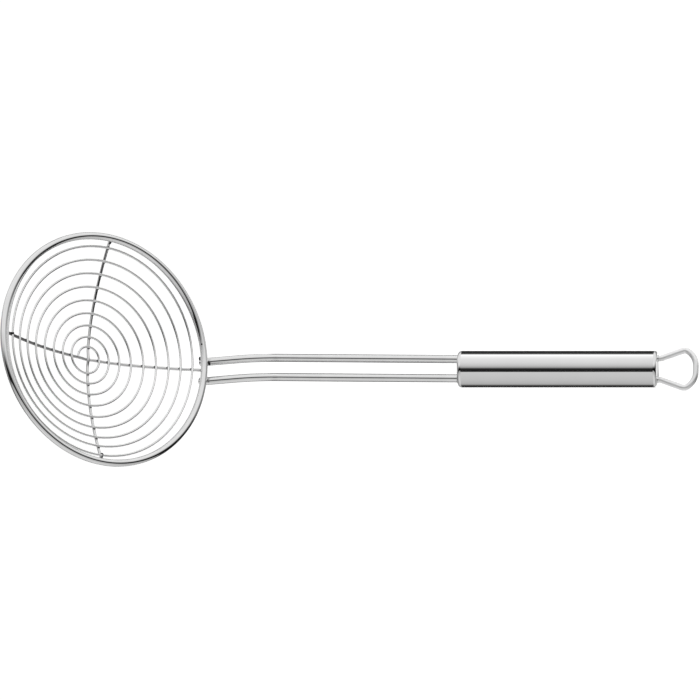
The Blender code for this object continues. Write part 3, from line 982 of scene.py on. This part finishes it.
NEAR_CARD_ACROSS = (0.18, 0.08)     # and of the one on the near side
NEAR_CARD_UP = (-0.80, -0.88)
TABLE_SPOT_LIGHT = 1.0      # the lit table as the handle's end face shows it
TABLE_SPOT_ALONG = (0.0, 0.08)      # its edges, as X and as Z
TABLE_SPOT_UP = (-0.88, -0.94)
TABLE_GLOW = 1.02           # the lit table under the skimmer, just pure white
TABLE_LIGHT = 0.03          # what falls on it from above, too little for a shadow to show
FLOOR_REACH = 6.0
FLOOR_GAP = 0.0002          # keeps the floor clear of the handle's lowest line
FLOOR_SHADE = 0.9
FLOOR_ROUGHNESS = 0.9


def steel_level(light):
    """What the studio has to give for steel to show this much light."""
    return light / STEEL_SHARE / STUDIO_TOP


def studio_ramp(tree, angle, full, lights):
    """Light along an angle in radians, of which full degrees fill the ramp."""
    share = math_node(tree, "DIVIDE", angle, math.radians(full))
    share = math_node(tree, "ADD", share, 0.5)
    ramp = tree.nodes.new("ShaderNodeValToRGB")
    tree.links.new(share, ramp.inputs["Fac"])
    stops = ramp.color_ramp.elements
    while len(stops) > 1:
        stops.remove(stops[-1])
    for i, (degrees, light) in enumerate(lights):
        place = degrees / full + 0.5
        stop = stops[0] if i == 0 else stops.new(place)
        stop.position = place
        stop.color = (*[steel_level(light)] * 3, 1.0)
    return ramp.outputs["Color"]


def soft_step(tree, value, edges):
    """From 0 at the first edge to 1 at the second."""
    step = tree.nodes.new("ShaderNodeMapRange")
    step.interpolation_type = "SMOOTHSTEP"
    step.inputs["From Min"].default_value = min(edges)
    step.inputs["From Max"].default_value = max(edges)
    if edges[0] > edges[1]:
        step.inputs["To Min"].default_value = 1.0
        step.inputs["To Max"].default_value = 0.0
    tree.links.new(value, step.inputs["Value"])
    return step.outputs["Result"]


def both(tree, first, second):
    """1 only where two soft steps are."""
    return math_node(tree, "MULTIPLY", first, second)


def mixed_light(tree, share, first, second):
    """The first light, and the second where the share is 1. The second may be a number."""
    mix = tree.nodes.new("ShaderNodeMix")
    mix.data_type = "RGBA"
    tree.links.new(share, mix.inputs["Factor"])
    tree.links.new(first, mix.inputs["A"])
    if isinstance(second, float):
        mix.inputs["B"].default_value = (*[steel_level(second)] * 3, 1.0)
    else:
        tree.links.new(second, mix.inputs["B"])
    return mix.outputs["Result"]


def widened_slit(tree, lateral, along):
    """Shifts and squeezes the lateral angle round the slit's middle beyond the handle's end."""
    beyond = soft_step(tree, along, SLIT_EDGES)
    narrower = math_node(tree, "MULTIPLY", beyond, -SLIT_WIDENED)
    narrower = math_node(tree, "ADD", narrower, 1.0)
    swing = math_node(tree, "MULTIPLY", beyond, math.radians(SLIT_SWING))
    middle = math.radians(SLIT_MIDDLE)
    from_middle = math_node(tree, "SUBTRACT", lateral, middle)
    from_middle = math_node(tree, "SUBTRACT", from_middle, swing)
    from_middle = math_node(tree, "MULTIPLY", from_middle, narrower)
    return math_node(tree, "ADD", from_middle, middle)


def studio_light(tree):
    """What the steel mirrors, by direction: a middle strip, and the two ends beyond it."""
    direction = tree.nodes.new("ShaderNodeTexCoord")
    parts = tree.nodes.new("ShaderNodeSeparateXYZ")
    tree.links.new(direction.outputs["Generated"], parts.inputs["Vector"])
    along, across, up = (parts.outputs[axis] for axis in "XYZ")
    aside = math_node(tree, "ABSOLUTE", math_node(tree, "SUBTRACT", along, CARDS_ALONG), 0.0)
    lateral = widened_slit(tree, math_node(tree, "ARCSINE", across, 0.0), along)
    ends = studio_ramp(tree, lateral, 180, STUDIO_ENDS)
    ends = mixed_light(tree, soft_step(tree, along, WALL_EDGES), ends, WALL_LIGHT)
    ends = mixed_light(tree, soft_step(tree, up, GROUND_EDGES), ends, GROUND_LIGHT)
    far_card = both(tree, soft_step(tree, across, FAR_CARD_ACROSS), soft_step(tree, up, FAR_CARD_UP))
    near_card = both(tree, soft_step(tree, across, NEAR_CARD_ACROSS), soft_step(tree, up, NEAR_CARD_UP))
    low_cards = math_node(tree, "MAXIMUM", far_card, near_card)
    low_cards = both(tree, low_cards, soft_step(tree, aside, LOW_CARDS_EDGES))
    ends = mixed_light(tree, low_cards, ends, LOW_CARDS_LIGHT)
    table_spot = both(tree, soft_step(tree, along, TABLE_SPOT_ALONG), soft_step(tree, up, TABLE_SPOT_UP))
    ends = mixed_light(tree, table_spot, ends, TABLE_SPOT_LIGHT)
    around = math_node(tree, "ARCTAN2", across, up)
    middle = studio_ramp(tree, around, 360, STUDIO_MIDDLE)
    return mixed_light(tree, soft_step(tree, aside, CARDS_EDGES), middle, ends)


def make_studio():
    """The studio as steel mirrors it, and the plain light that falls on the floor."""
    world = bpy.data.worlds.new("studio")
    bpy.context.scene.world = world
    world.use_nodes = True
    world.cycles.sampling_method = "NONE"
    tree = world.node_tree
    tree.nodes.clear()
    seen_in_steel = tree.nodes.new("ShaderNodeBackground")
    seen_in_steel.inputs["Strength"].default_value = STUDIO_TOP
    tree.links.new(studio_light(tree), seen_in_steel.inputs["Color"])
    rays = tree.nodes.new("ShaderNodeLightPath")
    around_table = tree.nodes.new("ShaderNodeMapRange")
    around_table.inputs["To Min"].default_value = TABLE_LIGHT
    around_table.inputs["To Max"].default_value = TABLE_GLOW
    tree.links.new(rays.outputs["Is Camera Ray"], around_table.inputs["Value"])
    on_floor = tree.nodes.new("ShaderNodeBackground")
    on_floor.inputs["Color"].default_value = (1.0, 1.0, 1.0, 1.0)
    tree.links.new(around_table.outputs["Result"], on_floor.inputs["Strength"])
    mix = tree.nodes.new("ShaderNodeMixShader")
    tree.links.new(rays.outputs["Is Glossy Ray"], mix.inputs["Fac"])
    tree.links.new(on_floor.outputs["Background"], mix.inputs[1])
    tree.links.new(seen_in_steel.outputs["Background"], mix.inputs[2])
    out = tree.nodes.new("ShaderNodeOutputWorld")
    tree.links.new(mix.outputs["Shader"], out.inputs["Surface"])


def make_camera():
    lens = bpy.data.cameras.new("camera")
    lens.sensor_width = SENSOR
    lens.lens = SENSOR * CAMERA_DISTANCE / VIEW_WIDTH
    lens.clip_end = 2 * CAMERA_DISTANCE
    camera = bpy.data.objects.new("camera", lens)
    bpy.context.scene.collection.objects.link(camera)
    turn = (Matrix.Rotation(math.radians(CAMERA_AZIMUTH), 3, "Z")
            @ Matrix.Rotation(math.radians(90 - CAMERA_ELEVATION), 3, "X")
            @ Matrix.Rotation(math.radians(CAMERA_ROLL), 3, "Z"))
    place = VIEW_TARGET + turn @ Vector((0.0, 0.0, CAMERA_DISTANCE))
    camera.matrix_world = Matrix.Translation(place) @ turn.to_4x4()
    bpy.context.scene.camera = camera


# Assembly

def fit(piece, material, slot, *nodes):
    """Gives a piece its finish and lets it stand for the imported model's nodes."""
    piece.data.materials.clear()
    piece.data.materials.append(material)
    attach(piece, ROOT)
    if nodes:
        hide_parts(*nodes)


def main():
    fit(wire_piece("rim_wire", tilted(rim_points()), RIM_WIRE, WIRE_SIDES, True),
        BRIGHT, "bright_wire", "rim_ring")
    fit(wire_piece("bowl_spiral", tilted(spiral_points()), SPIRAL_WIRE, FINE_SIDES),
        FINE_WITH_PAINTED_LIGHT, "fine_wire", "basket_spiral")
    # The long rib grows darker towards its far end.
    long_rib = rib_points(-LONG_RIB_FAR, RIM_RADIUS, long_rib_point)
    fit(wire_piece("rib_along", tilted(long_rib), RIB_WIRE, FINE_SIDES),
        RIB_DARKER_AT_FAR_END, "fine_wire", "long_rib")
    cross_rib = rib_points(-CROSS_RIB_LEFT, CROSS_RIB_RIGHT, cross_rib_point)
    fit(wire_piece("rib_across", tilted(cross_rib), RIB_WIRE, FINE_SIDES),
        RIB, "fine_wire", "cross_rib")
    fit(make_spot_welds(), PRESSED_WELD_AND_SHADE, "fine_wire")
    # Its near black is partly painted shadow between the spiral wire's end and the rim.
    fit(make_end_bead(), BURNT_AND_SHADE, "fine_wire")
    fit(make_rib_end_welds(), BURNT_AND_SHADE, "fine_wire")

    rod_holes = []
    loop_holes = []
    for side, hand in ((1, "right"), (-1, "left")):
        fit(wire_piece("rod_" + hand, rod_points(side), ROD_WIRE, WIRE_SIDES),
            BRIGHT, "bright_wire", "shank_rod_" + hand)
        entry, way = rod_entry(side)
        rod_holes.append((entry, way, ROD_WIRE))
        fit(make_collar("rod_collar_" + hand, entry, way, ROD_WIRE), WELD_AND_SHADE, "bright_wire")
        leg = HANDLE_REAR + Vector((0.0, side * LOOP_LEG_SPACING / 2, 0.0))
        outward = Vector((1.0, 0.0, 0.0))
        loop_holes.append((leg, outward, LOOP_WIRE))
        fit(make_collar("loop_collar_" + hand, leg, outward, LOOP_WIRE), BRIGHT, "bright_wire")

    # Near black beads on the right rod: weld burn, and painted shade where its cut end and the rim meet.
    fit(make_rod_welds("rim_weld_right", 1, RIGHT_BEAD_INSIDE, RIGHT_BEADS_ASIDE),
        BURNT_AND_SHADE, "bright_wire")
    # Grey beads on the left rod: weld, and painted shade in the crevice under the rim.
    fit(make_rod_welds("rim_weld_left", -1, LEFT_BEAD_INSIDE, LEFT_BEADS_ASIDE),
        WELD_AND_SHADE, "bright_wire")

    fit(make_cap("front_cap", FRONT_CAP_CORNER, -1, HANDLE_FRONT, rod_holes),
        POLISHED, "polished_tube", "handle_front_cap")
    fit(make_tube(), POLISHED, "polished_tube", "handle_tube")
    fit(make_cap("rear_cap", REAR_CAP_CORNER, 1, HANDLE_REAR, loop_holes),
        POLISHED, "polished_tube", "handle_rear_cap")
    fit(wire_piece("loop_wire", loop_points(), LOOP_WIRE, WIRE_SIDES),
        SATIN_WITH_PAINTED_LIGHT, "bright_wire", "hanging_loop")

    make_floor()
    make_studio()
    make_camera()
    bpy.context.scene.view_settings.view_transform = "Standard"


main()
